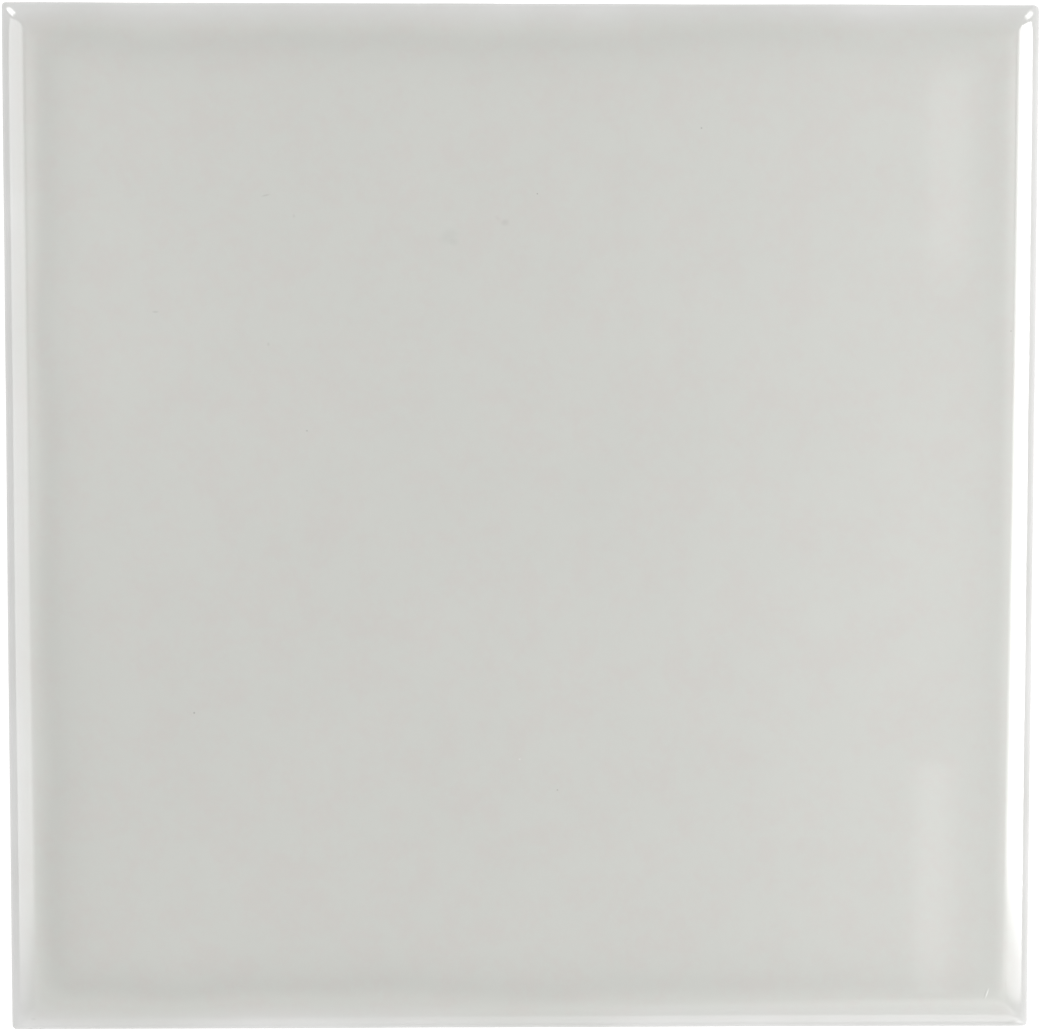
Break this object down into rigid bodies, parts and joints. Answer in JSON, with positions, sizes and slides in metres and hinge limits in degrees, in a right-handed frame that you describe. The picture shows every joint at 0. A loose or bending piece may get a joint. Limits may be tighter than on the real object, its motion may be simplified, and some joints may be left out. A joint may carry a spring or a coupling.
{
  "type": "ceramic wall tile",
  "caption": "Square glazed wall tile with a cushioned edge that rolls down to straight sides, and a shallow waffle key pressed into its back for the adhesive.",
  "frame": {"origin": "middle of the back, on the plane of its ribs", "axes": "+Z out of the glazed face; +X and +Y along the sides, with +Y towards the edge that is at the top of the picture"},
  "size_m": [0.152, 0.152, 0.008],
  "materials": {
    "glaze": "gloss"
  },
  "bodies": {
    "root": {"tile": "glaze"}
  },
  "joints": []
}
